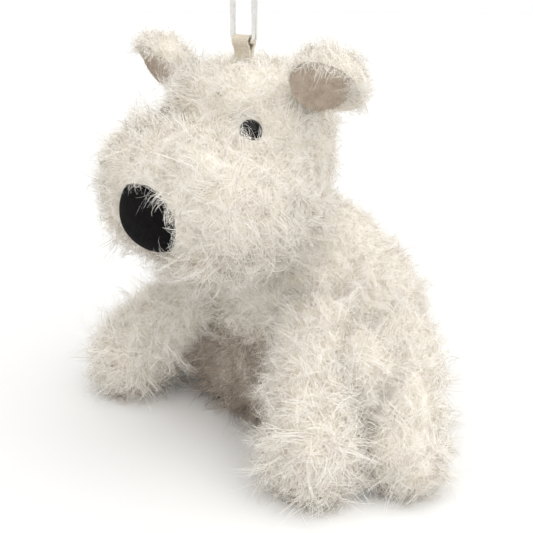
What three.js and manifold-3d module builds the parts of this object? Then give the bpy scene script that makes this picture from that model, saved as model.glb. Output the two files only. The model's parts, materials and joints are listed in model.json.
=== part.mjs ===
// Small sitting plush dog, a bag charm: a boxy stuffed head and a rounded stuffed body in curly pile
// fabric, four splayed legs, two folded ears, a stub tail, a suede nose, plastic eyes, and a woven tab
// with a metal ring on the crown. Millimetres, +Z up, the dog looks along -Y and its left is +X.
// The origin is on the ground, in the middle of the object's box. The dimensions below are in a frame
// whose +Y is MIDDLE_Y further back, and every solid is moved by that much at the end.

import * as THREE from 'three';
import { mergeVertices } from 'three/addons/utils/BufferGeometryUtils.js';
import Module from 'manifold-3d';

const wasm = await Module();
wasm.setup();

// ---- Driving dimensions ----------------------------------------------------------------------------

const MIDDLE_Y = 11.74; // middle of the whole box, front to back

const FABRIC = 1.6; // pile fabric with its backing, pressed flat
const GAP = 0.35; // between pieces that touch on the real object
const SOCKET_GAP = 0.6; // around a stuffed ball that turns in its hollow

const ROUND = 2; // squareness of an ellipsoid
const BOXY = 2.8; // squareness of the head

const CHEST = { at: [0, 13, 32], size: [23, 21, 28], square: ROUND };
const BACK = { at: [0, 25, 43], size: [27, 23, 24], square: ROUND };
const RUMP = { at: [0, 29.5, 26], size: [35, 30.5, 30], square: 2.2 };
const TORSO = [CHEST, BACK, RUMP];

const SKULL = { at: [0, -4, 91.5], size: [25, 19, 21.5], square: BOXY };
const MUZZLE = { at: [0, -24, 78.5], size: [31, 19.5, 18], square: 3.2 };
const JAW = { at: [0, -11, 72], size: [26, 21, 14], square: 2.3 };
const HEAD = [SKULL, MUZZLE, JAW];

const NECK_AT = [0, 10, 62];
const NECK_RADIUS = 10.5;

const FRONT_LEG = { joint: [23, -1, 36], foot: [41, -20.5, 12.5], top: 12.5, end: 12, sole: [12.5, 13, 13.5] };
const HIND_LEG = { joint: [32, 24.5, 23], foot: [58, -2, 10.5], top: 15.5, end: 11, sole: [11, 11, 11.5] };
const SOLE_SQUARENESS = 2.2;
const LEG_OPENING = 4; // radius of the gap that a leg is stuffed through

const TAIL = { joint: [0, 60.3, 24], foot: [0, 66.5, 27], top: 5, end: 4 };
const TAIL_OPENING = 2.2;

const EAR_AT = [32.5, -9, 110];
const EAR_SIZE = [10.5, 6.5, 9.5];
const EAR_TURN = 12; // degrees that the ear's hollow looks outward
const EAR_FOLD = 42; // degrees that the ear leans forward
const EAR_HOLLOW_SHIFT = 4.2; // the hollow is the ear's own form, moved forward
const EAR_LINING_THICKNESS = 1.2;
const EAR_ROOT = [23.5, -5, 104];
const EAR_ROOT_RADIUS = 3.6;
const EAR_SWING = [-12, 0, 12]; // degrees over which the ear clears the head

const NOSE = { at: [0, -39.5, 75], size: [12.5, 7.5, 10], square: 2.2 };

const EYE_DIRECTION = [17.6, -17, 5.6]; // from the skull's centre
const EYE_RADIUS = 3.1;
const EYE_HEIGHT = 2.6;
const EYE_STEM_RADIUS = 1.1;
const EYE_STEM_LENGTH = 7;
const WASHER_RADIUS = 4;
const WASHER_THICKNESS = 1;

const TAB_Y = -6.8;
const TAB_WIDTH = 6;
const TAB_ROOT_Z = 114.2;
const TAB_ROOT_RADIUS = 0.8;
const TAB_LAYER = 0.7;
const RING_WIRE = 0.85; // radius of the wire
const RING_BAR_Z = 117.8;
const RING_WIDTH = 10.2;
const RING_HEIGHT = 16;
const RING_CORNER = 1.8; // radius of the corners, at the middle of the wire

const FINE = [16, 10]; // facets around and from pole to pole on a large form
const COARSE = [12, 8]; // on a small form, and on the faces hidden inside a large one
const LIMB_FACETS = 14;
const EYE_FACETS = 16;

const CREAM = 0xe9e2d6;
const LINING_BEIGE = 0x9e8c7d;
const FIBRE_WHITE = 0xf2f0ec;
const SUEDE_BLACK = 0x121012;
const PLASTIC_BLACK = 0x16151a;
const WEBBING_BEIGE = 0xc6bba6;
const STEEL = 0xc9c9cc;

// ---- Solids: three.js geometry in and out of boolean joins and cuts -------------------------------

function solidOf(geometry) {
  const bare = geometry.clone();
  bare.deleteAttribute('normal');
  bare.deleteAttribute('uv');
  const merged = mergeVertices(bare, 1e-4);
  const mesh = new wasm.Mesh({
    numProp: 3,
    vertProperties: new Float32Array(merged.attributes.position.array),
    triVerts: new Uint32Array(merged.index.array),
  });
  return new wasm.Manifold(mesh);
}

function geometryOf(solid) {
  const mesh = solid.getMesh();
  const geometry = new THREE.BufferGeometry();
  geometry.setAttribute('position', new THREE.BufferAttribute(mesh.vertProperties, 3));
  geometry.setIndex(new THREE.BufferAttribute(mesh.triVerts, 1));
  geometry.computeVertexNormals();
  return geometry;
}

const joined = (solids) => solids.reduce((all, next) => all.add(next));

function placed(geometry, matrix) {
  return solidOf(geometry.clone().applyMatrix4(matrix));
}

// A turn of some degrees about an axis through a point.
function turnAbout(point, axis, degrees) {
  const at = new THREE.Vector3(...point);
  const turn = new THREE.Matrix4().makeRotationAxis(axis, THREE.MathUtils.degToRad(degrees));
  const back = new THREE.Matrix4().makeTranslation(-at.x, -at.y, -at.z);
  return new THREE.Matrix4().makeTranslation(at.x, at.y, at.z).multiply(turn).multiply(back);
}

// Carries +Y onto a direction, with the start at a point.
function alongFrom(point, direction) {
  const up = new THREE.Vector3(0, 1, 0);
  const turn = new THREE.Quaternion().setFromUnitVectors(up, direction.clone().normalize());
  return new THREE.Matrix4().compose(new THREE.Vector3(...point), turn, new THREE.Vector3(1, 1, 1));
}

const mirrored = (point, side) => [point[0] * side, point[1], point[2]];

// ---- Stuffed forms ---------------------------------------------------------------------------------

// A ball pushed towards a box: squareness 2 is an ellipsoid, and more has flatter sides.
function blobGeometry({ at, size, square }, inset, [around, upDown]) {
  const geometry = new THREE.SphereGeometry(1, around, upDown).rotateX(Math.PI / 2);
  const points = geometry.attributes.position;
  for (let i = 0; i < points.count; i++) {
    const way = [points.getX(i), points.getY(i), points.getZ(i)];
    const sum = way.reduce((total, w) => total + Math.abs(w) ** square, 0);
    const reach = sum ** (-1 / square);
    const [x, y, z] = way.map((w, k) => at[k] + w * reach * (size[k] - inset));
    points.setXYZ(i, x, y, z);
  }
  return geometry;
}

const blob = (form, inset = 0, facets = COARSE) => solidOf(blobGeometry(form, inset, facets));

const ball = (at, radius) => blob({ at, size: [radius, radius, radius], square: ROUND });

// A hollow for a ball: the middles of its facets, and not its corners, clear the radius.
function socket(at, radius) {
  const [around, upDown] = COARSE;
  return ball(at, radius / (Math.cos(Math.PI / around) * Math.cos(Math.PI / 2 / upDown)));
}

// The point on a blob's surface in a direction from its centre, and the surface's outward normal there.
function onBlob({ at, size, square }, direction) {
  const sum = direction.reduce((total, d, k) => total + Math.abs(d / size[k]) ** square, 0);
  const reach = sum ** (-1 / square);
  const point = direction.map((d, k) => at[k] + d * reach);
  const slope = direction.map((d, k) => {
    const steepness = Math.abs((d * reach) / size[k]) ** (square - 1);
    return (Math.sign(d) * steepness) / size[k];
  });
  return { point, normal: new THREE.Vector3(...slope).normalize() };
}

// A limb that tapers from a ball at its joint to a ball at its end.
function taper({ joint, foot, top, end }, inset) {
  const start = new THREE.Vector3(...joint);
  const reach = new THREE.Vector3(...foot).sub(start);
  const length = reach.length();
  const tilt = Math.asin((top - end) / length);
  const steps = 4;
  const profile = [];
  const arc = (radius, height, from, to) => {
    for (let i = 0; i <= steps; i++) {
      const angle = from + ((to - from) * i) / steps;
      profile.push(new THREE.Vector2(Math.cos(angle) * radius, height + Math.sin(angle) * radius));
    }
  };
  arc(top - inset, 0, -Math.PI / 2, tilt);
  arc(end - inset, length, tilt, Math.PI / 2);
  profile[0].x = 0;
  profile.at(-1).x = 0;
  return placed(new THREE.LatheGeometry(profile, LIMB_FACETS), alongFrom(joint, reach));
}

// Keeps what is above a level.
function above(solid, level) {
  const span = 400; // wider than the whole object
  const slab = new THREE.BoxGeometry(span, span, span).translate(0, 0, level + span / 2);
  return solid.intersect(solidOf(slab));
}

const soft = (blobs, inset, facets) => joined(blobs.map((form) => blob(form, inset, facets)));

const facetsAt = (inset) => (inset > 0 ? COARSE : FINE);

// ---- Scene graph -----------------------------------------------------------------------------------

const group = new THREE.Group();

function put(name, solid, color, roughness, metalness = 0) {
  const geometry = geometryOf(solid.translate(0, -MIDDLE_Y, 0));
  const mesh = new THREE.Mesh(geometry, new THREE.MeshStandardMaterial({ color, roughness, metalness }));
  mesh.name = name;
  group.add(mesh);
}

const pile = (name, solid) => put(name, solid, CREAM, 0.95);
const fibre = (name, solid) => put(name, solid, FIBRE_WHITE, 1);

// ---- Legs and tail ---------------------------------------------------------------------------------

const SIDES = { left: 1, right: -1 };

function onSide(limb, side) {
  return { ...limb, joint: mirrored(limb.joint, side), foot: mirrored(limb.foot, side) };
}

// The leg's outer form, or the same form with its fabric peeled off by an inset.
function legForm(leg, inset) {
  const paw = blob({ at: leg.foot, size: leg.sole, square: SOLE_SQUARENESS }, inset);
  return above(taper(leg, inset).add(paw), inset);
}

// A round channel from a joint's ball out through its fabric.
function stuffingGap({ joint, top }, inward, radius) {
  const length = top + FABRIC;
  const channel = new THREE.CylinderGeometry(radius, radius, length, LIMB_FACETS).translate(0, length / 2, 0);
  return placed(channel, alongFrom(joint, inward));
}

function addLeg(name, leg, side) {
  const limb = onSide(leg, side);
  const inward = new THREE.Vector3(-side, 0.4, 0.25);
  const cover = legForm(limb, 0).subtract(legForm(limb, FABRIC));
  pile(`${name}_cover`, cover.subtract(stuffingGap(limb, inward, LEG_OPENING)));
  fibre(`${name}_stuffing`, legForm(limb, FABRIC + GAP));
}

for (const [word, side] of Object.entries(SIDES)) {
  addLeg(`front_leg_${word}`, FRONT_LEG, side);
  addLeg(`hind_leg_${word}`, HIND_LEG, side);
}

const tailGap = stuffingGap(TAIL, new THREE.Vector3(0, -1, -0.4), TAIL_OPENING);
pile('tail_cover', taper(TAIL, 0).subtract(taper(TAIL, FABRIC)).subtract(tailGap));
fibre('tail_stuffing', taper(TAIL, FABRIC + GAP));

// ---- Body ------------------------------------------------------------------------------------------

// The hollows that the legs and the tail turn in.
function limbSockets(inset) {
  const limbs = [FRONT_LEG, HIND_LEG].flatMap((leg) => Object.values(SIDES).map((side) => onSide(leg, side)));
  return joined([...limbs, TAIL].map((limb) => socket(limb.joint, limb.top + SOCKET_GAP + inset)));
}

function torso(inset) {
  return above(soft(TORSO, inset, facetsAt(inset)), inset).subtract(limbSockets(inset));
}

const neckSocket = socket(NECK_AT, NECK_RADIUS + SOCKET_GAP);

pile('body_cover', torso(0).subtract(torso(FABRIC)).subtract(neckSocket));
fibre('body_stuffing', torso(FABRIC + GAP).subtract(neckSocket));
fibre('neck_stuffing', ball(NECK_AT, NECK_RADIUS));

// ---- Ears ------------------------------------------------------------------------------------------

const acrossAxis = new THREE.Vector3(1, 0, 0);
const upAxis = new THREE.Vector3(0, 0, 1);

// The ear's own form, moved along the way that its hollow looks.
function earForm(side, inset, shift) {
  const size = EAR_SIZE;
  const form = blobGeometry({ at: [0, -shift, 0], size, square: ROUND }, inset, COARSE);
  const lean = new THREE.Matrix4().makeRotationX(THREE.MathUtils.degToRad(EAR_FOLD));
  const look = new THREE.Matrix4().makeRotationAxis(upAxis, THREE.MathUtils.degToRad(side * EAR_TURN));
  const at = new THREE.Matrix4().makeTranslation(...mirrored(EAR_AT, side));
  return placed(form, at.multiply(look).multiply(lean));
}

// What the head sweeps, seen from an ear that swings about its root.
function headSeenFromEar(side) {
  const head = soft(HEAD, -SOCKET_GAP, FINE);
  const root = mirrored(EAR_ROOT, side);
  return joined(EAR_SWING.map((angle) => head.transform(turnAbout(root, acrossAxis, angle).elements)));
}

function addEar(word, side) {
  const headSweep = headSeenFromEar(side);
  const whole = earForm(side, 0, 0);
  const hollow = earForm(side, 0, EAR_HOLLOW_SHIFT);
  const liningBack = earForm(side, GAP, EAR_HOLLOW_SHIFT);
  const liningFront = earForm(side, 0, EAR_HOLLOW_SHIFT + EAR_LINING_THICKNESS);
  const root = ball(mirrored(EAR_ROOT, side), EAR_ROOT_RADIUS);
  const flap = whole.subtract(hollow).subtract(headSweep);
  pile(`ear_cover_${word}`, flap.add(root.subtract(hollow)));
  const lining = liningBack.subtract(liningFront).intersect(whole).subtract(headSweep);
  put(`ear_lining_${word}`, lining.subtract(root), LINING_BEIGE, 0.9);
}

for (const [word, side] of Object.entries(SIDES)) addEar(word, side);

// ---- Head ------------------------------------------------------------------------------------------

function earSockets(inset) {
  const radius = EAR_ROOT_RADIUS + SOCKET_GAP + inset;
  return joined(Object.values(SIDES).map((side) => socket(mirrored(EAR_ROOT, side), radius)));
}

function head(inset) {
  return soft(HEAD, inset, facetsAt(inset)).subtract(earSockets(inset));
}

// A solid of revolution about the eye's own line, with heights above the fabric's outer face.
function eyeTurned(profile, side) {
  const { point, normal } = onBlob(SKULL, EYE_DIRECTION);
  const look = new THREE.Vector3(side * normal.x, normal.y, normal.z);
  const points = profile.map(([radius, height]) => new THREE.Vector2(radius, height));
  return placed(new THREE.LatheGeometry(points, EYE_FACETS), alongFrom(mirrored(point, side), look));
}

function eyeDome() {
  const steps = 6;
  return Array.from({ length: steps + 1 }, (_, i) => {
    const angle = (i * Math.PI) / 2 / steps;
    const radius = i === steps ? 0 : EYE_RADIUS * Math.cos(angle);
    return [radius, GAP + EYE_HEIGHT * Math.sin(angle)];
  });
}

const STEM = [[0, -EYE_STEM_LENGTH], [EYE_STEM_RADIUS, -EYE_STEM_LENGTH], [EYE_STEM_RADIUS, GAP]];
const washerTop = -FABRIC - GAP;
const washerBottom = washerTop - WASHER_THICKNESS;

function discProfile(inner, outer, low, high) {
  return [[inner, low], [outer, low], [outer, high], [inner, high], [inner, low]];
}

function columnProfile(radius, low, high) {
  return [[0, low], [radius, low], [radius, high], [0, high]];
}

const eyeCuts = [];
for (const [word, side] of Object.entries(SIDES)) {
  const stemHole = EYE_STEM_RADIUS + GAP;
  put(`eye_${word}`, eyeTurned([...STEM, ...eyeDome()], side), PLASTIC_BLACK, 0.25);
  const washer = discProfile(stemHole, WASHER_RADIUS, washerBottom, washerTop);
  put(`eye_washer_${word}`, eyeTurned(washer, side), FIBRE_WHITE, 0.6);
  eyeCuts.push(eyeTurned(columnProfile(stemHole, -EYE_STEM_LENGTH - GAP, EYE_HEIGHT), side));
  eyeCuts.push(eyeTurned(columnProfile(EYE_RADIUS + GAP, 0, EYE_HEIGHT), side));
  eyeCuts.push(eyeTurned(columnProfile(WASHER_RADIUS + GAP, washerBottom - GAP, -FABRIC), side));
}

const eyeRoom = joined(eyeCuts);
pile('head_cover', head(0).subtract(head(FABRIC)).subtract(neckSocket).subtract(eyeRoom));
fibre('head_stuffing', head(FABRIC + GAP).subtract(neckSocket).subtract(eyeRoom));

const nose = blob(NOSE, 0, FINE).subtract(soft(HEAD, -GAP, FINE));
put('nose_patch', nose, SUEDE_BLACK, 0.85);

// ---- Tab and ring ----------------------------------------------------------------------------------

// The band runs up from the crown seam, over the ring's bar and down again: two layers with an eye on top.
function tabOutline() {
  const eye = RING_WIRE + GAP + TAB_LAYER;
  const half = TAB_ROOT_RADIUS;
  const lean = Math.asin(half / eye);
  const rise = RING_BAR_Z - TAB_ROOT_Z;
  const outline = new THREE.Shape();
  outline.absarc(0, 0, half, Math.PI, 2 * Math.PI, false);
  outline.absarc(0, rise, eye, -Math.PI / 2 + lean, (3 * Math.PI) / 2 - lean, false);
  outline.closePath();
  const hole = new THREE.Path();
  hole.absarc(0, rise, RING_WIRE + GAP, 0, 2 * Math.PI, true);
  outline.holes.push(hole);
  return outline;
}

const tabSweep = { depth: TAB_WIDTH, bevelEnabled: false, curveSegments: 10 };
const tab = new THREE.ExtrudeGeometry(tabOutline(), tabSweep);
tab.translate(0, 0, -TAB_WIDTH / 2);
const tabFrame = new THREE.Matrix4().makeBasis(
  new THREE.Vector3(0, 1, 0),
  new THREE.Vector3(0, 0, 1),
  new THREE.Vector3(1, 0, 0),
);
tabFrame.setPosition(0, TAB_Y, TAB_ROOT_Z);
put('loop_tab', placed(tab, tabFrame), WEBBING_BEIGE, 0.8);

// A small torus pulled apart into a rounded rectangle that stands in the dog's left-right plane.
function ringGeometry() {
  const segments = 20;
  const ring = new THREE.TorusGeometry(RING_CORNER, RING_WIRE, 10, segments).rotateZ(Math.PI / segments);
  const points = ring.attributes.position;
  const reachX = RING_WIDTH / 2 - RING_WIRE - RING_CORNER;
  const reachY = RING_HEIGHT / 2 - RING_WIRE - RING_CORNER;
  for (let i = 0; i < points.count; i++) {
    points.setX(i, points.getX(i) + Math.sign(points.getX(i)) * reachX);
    points.setY(i, points.getY(i) + Math.sign(points.getY(i)) * reachY);
  }
  return ring.rotateX(Math.PI / 2).translate(0, TAB_Y, RING_BAR_Z + RING_HEIGHT / 2 - RING_WIRE);
}

put('hanging_ring', solidOf(ringGeometry()), STEEL, 0.25, 1);

export default group;
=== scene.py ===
# Small sitting plush dog, a bag charm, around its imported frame: stuffed cloth skins blown up by cloth
# simulation, long curly pile as real strands on them, brushed ear linings, a suede nose, glossy eyes half
# hidden in the pile, a woven tab and a polished ring. Points and lengths are in millimetres until they
# are put into a mesh; the reliefs of the materials are in metres.

import json
import math

import bpy
import numpy as np
from mathutils import Matrix, Vector


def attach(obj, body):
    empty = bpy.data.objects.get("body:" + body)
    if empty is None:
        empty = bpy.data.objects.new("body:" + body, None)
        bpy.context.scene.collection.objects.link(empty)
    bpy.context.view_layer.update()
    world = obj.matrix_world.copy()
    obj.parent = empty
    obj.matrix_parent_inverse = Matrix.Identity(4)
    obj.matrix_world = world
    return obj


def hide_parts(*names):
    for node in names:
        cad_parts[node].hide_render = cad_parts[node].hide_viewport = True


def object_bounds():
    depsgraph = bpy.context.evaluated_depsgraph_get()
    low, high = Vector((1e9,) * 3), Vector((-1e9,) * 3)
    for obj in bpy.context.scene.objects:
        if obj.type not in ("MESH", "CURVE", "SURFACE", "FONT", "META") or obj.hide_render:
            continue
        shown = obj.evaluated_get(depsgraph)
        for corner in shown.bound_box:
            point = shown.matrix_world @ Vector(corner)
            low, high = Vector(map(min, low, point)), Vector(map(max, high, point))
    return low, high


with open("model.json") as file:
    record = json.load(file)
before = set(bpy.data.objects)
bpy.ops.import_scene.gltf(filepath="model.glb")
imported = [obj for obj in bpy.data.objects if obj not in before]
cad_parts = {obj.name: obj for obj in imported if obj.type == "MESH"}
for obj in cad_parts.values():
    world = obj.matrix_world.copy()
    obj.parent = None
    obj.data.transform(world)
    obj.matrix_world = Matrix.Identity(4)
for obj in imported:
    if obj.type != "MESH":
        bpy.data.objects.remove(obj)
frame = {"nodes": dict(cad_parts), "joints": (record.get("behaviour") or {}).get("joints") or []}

cad_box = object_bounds()

MM = 0.001
SIDES = {"left": 1, "right": -1}
JOINTS = {joint["name"]: np.array(joint["pos_m"]) / MM for joint in frame["joints"] if "pos_m" in joint}
NECK = JOINTS["neck_nod"]
Y0 = NECK[1] - 10  # the places below are measured from here, front to back

# ---- Camera ------------------------------------------------------------------------------------------

LOOK_AT = Vector((1.0, Y0 + 1.04, 50.0)) * MM
CAMERA_AZIMUTH = math.radians(45)
CAMERA_ELEVATION = math.radians(20)
CAMERA_DISTANCE = 250 * MM
CAMERA_LENS = 54.5


def toward(azimuth, elevation):
    """Unit vector from the object to a viewer; azimuth 0 is in front, and 90 is on the dog's left."""
    level = math.cos(elevation)
    return Vector((math.sin(azimuth) * level, -math.cos(azimuth) * level, math.sin(elevation)))


def add_camera():
    data = bpy.data.cameras.new("camera")
    data.lens = CAMERA_LENS
    data.clip_start = 10 * MM
    camera = bpy.data.objects.new("camera", data)
    back = toward(CAMERA_AZIMUTH, CAMERA_ELEVATION)
    camera.location = LOOK_AT + back * CAMERA_DISTANCE
    camera.rotation_euler = (-back).to_track_quat("-Z", "Y").to_euler()
    bpy.context.scene.collection.objects.link(camera)
    bpy.context.scene.camera = camera


add_camera()

# ---- Driving sizes, in millimetres in the row frame ------------------------------------------------


def form(x, y, z, size, square=2.0):
    """A ball pushed towards a box: squareness 2 is an ellipsoid, and more has flatter sides."""
    return {"at": np.array((x, Y0 + y, z)), "size": np.array(size, float), "square": square}


SKULL = form(0, -4, 91.5, (25, 19, 21.5), 2.8)
MUZZLE = form(0, -24, 78.5, (31, 19.5, 18), 3.2)
JAW = form(0, -11, 71.5, (26.5, 21.5, 15), 2.3)
NAPE = form(0, 4, 76, (21, 13, 17), 2.2)
CHEST = form(0, 11.5, 31, (25, 22, 30.5), 2.3)
BACK = form(0, 25, 43, (27, 23, 24))
RUMP = form(0, 29.5, 26, (35, 30.5, 30), 2.2)
SCRUFF = form(0, 10, 61, (14, 14, 14))
FLANKS = [form(side * 37, 1.5, 21, (13.5, 14, 20)) for side in SIDES.values()]
BELLY = form(0, 1, 15, (28, 13, 15.5), 2.5)
NOSE = form(0, -39.5, 75, (12.5, 7.5, 10), 2.2)
EYE_DIRECTION = np.array((17.6, -17, 5.6))

FRONT_LEG = {"foot": (41, Y0 - 20.5, 12.5), "top": 12.5, "end": 12, "sole": (12.5, 13, 13.5)}
HIND_LEG = {"foot": (58, Y0 - 2, 10.5), "top": 15.5, "end": 11, "sole": (11, 11, 11.5)}
TAIL_FOOT = (0, Y0 + 66.5, 27)
NECK_RADIUS = 10.5
TAIL_TOP = 5
TAIL_END = 4

EAR_AT = np.array((32.5, Y0 - 9, 110))
EAR_SIZE = np.array((10.5, 6.5, 9.5))
EAR_TURN = 12
EAR_FOLD = 42
EAR_HOLLOW = 4.2
EAR_ROOT_RADIUS = 3.6
EAR_STEM_TOP = (0, 4.6, -3.5)  # in the ear's own frame, behind its shell
EAR_STEM_TOP_RADIUS = 1.9
LINING_FACES = (0.05, 0.8)  # depth of the lining's two faces below the hollow's
PATCH_SHARE = (0.78, 0.84)  # the free part of the ear's hollow, across and up
PATCH_SHIFT = (-2.2, -1.0)

EYE_RADIUS = 3.1
EYE_HEIGHT = 2.6
EYE_STEM_RADIUS = 1.1
EYE_STEM_LENGTH = 7
RING_WIRE = 0.85
RING_WIDTH = 10.2
RING_HEIGHT = 16
RING_CORNER = 1.8
TAB_WIDTH = 6
TAB_OFF_WIRE = 0.65  # from the wire's surface to the middle of the tape

GROUND = 0.25  # lowest point of the cloth and the pile
PROUD = 6.2  # how far the pile may stand out of the frame's box

HEAD_PILE = 7.6
SNOUT_PILE_MORE = 2.2
BEARD_MORE = 11.0  # longest under the jaw
BROW_MORE = 7.0
BODY_PILE = 8.4
FLANK_PILE_MORE = 3.0
BELLY_PILE_MORE = 4.0
LEG_PILE = 9.8
PAW_PILE_MORE = {"front_leg": 4.6, "hind_leg": 1.6}
TAIL_PILE = 9.0
EAR_PILE = 3.0
EAR_PILE_MORE = 4.8
LINING_PILE = 2.5
BELLY_PAINTED_SHADOW = -5.5  # painted shadow on the belly under the head and between the legs, in steps of shade, darker below 0
# painted shade on the beard's hanging fringe under the jaw
BEARD_PAINTED_SHADE = -0.5
# painted shade on the undersides of the paws, near the ground
SOLE_PAINTED_SHADE = -1.2
CURL = {"head": 0.75, "body": 0.6, "leg": 0.8, "tail": 0.6, "ear": 0.8}

# Where the pile changes: (edge, width of the change).
BEARD_BELOW = (76, 13)
SNOUT_ABOVE = (66, 8)
FLANK_OUTSIDE = (16, 8)
FLANK_AHEAD = (26, 10)
FLANK_ABOVE = (8, 8)
BELLY_INSIDE = (27, 10)
BELLY_AHEAD = (10, 8)
BELLY_BELOW = (40, 24)
SOLE_BELOW = (22, 20)
EYE_CLEARING = (2.4, 2.4)
BROW_AT = (-11.5, 100)  # across and up
BROW_SIZE = (6, 8)

# Forms that cover a region's roots, and the depth in each that bares them.
COVERS = {
    "head": [(SCRUFF, 0.75), (NOSE, 1.0)],
    "body": [(JAW, 0.7), (SKULL, 0.8)],
    "leg": [(CHEST, 0.7), (RUMP, 0.7)],
    "tail": [(RUMP, 0.85)],
}
LOWEST_ROOT = 0.6


def mirrored(point, side):
    return np.array(point, float) * (side, 1, 1)


# ---- Small numeric tools ---------------------------------------------------------------------------


def unit(vectors):
    return vectors / np.maximum(np.linalg.norm(vectors, axis=-1, keepdims=True), 1e-9)


def rising(value, start, width):
    """0 below the start, and 1 from a width above it."""
    return np.clip((value - start) / width, 0, 1)


def falling(value, end, width):
    """0 above the end, and 1 from a width below it."""
    return np.clip((end - value) / width, 0, 1)


def waves(points, wavelength, seed, count=7):
    """A smooth, repeatable vector field of about unit strength, as a sum of plane waves."""
    rng = np.random.default_rng(seed)
    total = np.zeros_like(points)
    for _ in range(count):
        way = unit(rng.normal(size=3)) * 2 * math.pi / (wavelength * rng.uniform(0.75, 1.4))
        total += np.sin(points @ way + rng.uniform(0, 2 * math.pi))[:, None] * rng.normal(size=3)
    return total * math.sqrt(2 / count) / math.sqrt(3)


def depth_in(shape, points):
    """Below 1 inside a form, 1 on its surface, and more outside."""
    square = shape["square"]
    return (np.abs((points - shape["at"]) / shape["size"]) ** square).sum(1) ** (1 / square)


def on_surface(shape, direction):
    """The point of a form in a direction from its centre, and the outward normal there."""
    scaled = direction / shape["size"]
    reach = (np.abs(scaled) ** shape["square"]).sum() ** (-1 / shape["square"])
    slope = np.sign(direction) * np.abs(scaled * reach) ** (shape["square"] - 1) / shape["size"]
    return shape["at"] + direction * reach, unit(slope)


# ---- Meshes ----------------------------------------------------------------------------------------


def link_mesh(name, points, faces):
    """A new smooth object from points in millimetres."""
    mesh = bpy.data.meshes.new(name)
    mesh.from_pydata((np.asarray(points) * MM).tolist(), [], faces)
    mesh.update()
    mesh.shade_smooth()
    thing = bpy.data.objects.new(name, mesh)
    bpy.context.scene.collection.objects.link(thing)
    return thing


def grid_faces(rows, columns):
    """Quads between closed rings of points, row after row."""
    faces = []
    for row in range(rows - 1):
        for column in range(columns):
            after = (column + 1) % columns
            here, above = row * columns, (row + 1) * columns
            faces.append((here + column, here + after, above + after, above + column))
    return faces


def capped(rows, columns):
    """Faces of a grid of rings whose first and last rings are closed by one face each."""
    faces = grid_faces(rows, columns)
    faces.append(tuple(reversed(range(columns))))
    faces.append(tuple(range((rows - 1) * columns, rows * columns)))
    return faces


def form_mesh(shape, rows=22, columns=36):
    tilt = np.linspace(-math.pi / 2 + 0.06, math.pi / 2 - 0.06, rows)
    turn = np.linspace(0, 2 * math.pi, columns, endpoint=False)
    way = np.stack(
        [
            np.outer(np.cos(tilt), np.cos(turn)).ravel(),
            np.outer(np.cos(tilt), np.sin(turn)).ravel(),
            np.repeat(np.sin(tilt), columns),
        ],
        1,
    )
    reach = (np.abs(way) ** shape["square"]).sum(1) ** (-1 / shape["square"])
    return shape["at"] + way * reach[:, None] * shape["size"], capped(rows, columns)


def chain(start, end, first, last, steps=9):
    """Balls in a row that merge into a tapered limb."""
    start, end = np.array(start, float), np.array(end, float)
    for share in np.linspace(0, 1, steps):
        radius = first + (last - first) * share
        yield {"at": start + (end - start) * share, "size": np.full(3, radius), "square": 2.0}


def merged(shapes):
    points, faces = [], []
    for shape in shapes:
        more, its_faces = form_mesh(shape)
        shift = sum(len(p) for p in points)
        points.append(more)
        faces += [tuple(i + shift for i in face) for face in its_faces]
    return np.concatenate(points), faces


def bake_modifiers(thing):
    graph = bpy.context.evaluated_depsgraph_get()
    done = bpy.data.meshes.new_from_object(thing.evaluated_get(graph), depsgraph=graph)
    old = thing.data
    thing.modifiers.clear()
    thing.data = done
    bpy.data.meshes.remove(old)
    done.name = thing.name
    done.shade_smooth()


def points_of(thing):
    flat = np.empty(len(thing.data.vertices) * 3)
    thing.data.vertices.foreach_get("co", flat)
    return flat.reshape(-1, 3) / MM


def set_points(thing, points):
    thing.data.vertices.foreach_set("co", (points * MM).ravel())
    thing.data.update()


def normals_of(thing):
    flat = np.empty(len(thing.data.vertices) * 3)
    thing.data.vertices.foreach_get("normal", flat)
    return flat.reshape(-1, 3)


# ---- Materials -------------------------------------------------------------------------------------


def new_material(name, color, roughness, **sockets):
    """A principled surface; sockets are set by name, with underscores for spaces."""
    material = bpy.data.materials.new(name)
    material.use_nodes = True
    shader = material.node_tree.nodes["Principled BSDF"]
    shader.inputs["Base Color"].default_value = (*color, 1)
    shader.inputs["Roughness"].default_value = roughness
    for socket, value in sockets.items():
        shader.inputs[socket.replace("_", " ")].default_value = value
    material.diffuse_color = (*color, 1)
    return material


def add_node(material, kind, **settings):
    node = material.node_tree.nodes.new(kind)
    for key, value in settings.items():
        if hasattr(node, key):
            setattr(node, key, value)
        else:
            node.inputs[key.replace("_", " ")].default_value = value
    return node


def wire(material, source, out, target, into):
    material.node_tree.links.new(source.outputs[out], target.inputs[into])


def object_place(material):
    return add_node(material, "ShaderNodeTexCoord")


def ramp(material, stops):
    node = add_node(material, "ShaderNodeValToRGB")
    elements = node.color_ramp.elements
    while len(elements) < len(stops):
        elements.new(0.5)
    for element, (place, color) in zip(elements, stops):
        element.position = place
        element.color = (*color, 1)
    return node


def shader_of(material):
    return material.node_tree.nodes["Principled BSDF"]


def mottled(material, scale, stops, detail=6):
    """Base colour that wanders between stops, in patches of about 1/scale metres."""
    place = object_place(material)
    noise = add_node(material, "ShaderNodeTexNoise", Scale=scale, Detail=detail, Roughness=0.6)
    colors = ramp(material, stops)
    wire(material, place, "Object", noise, "Vector")
    wire(material, noise, "Fac", colors, "Fac")
    wire(material, colors, "Color", shader_of(material), "Base Color")


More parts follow.
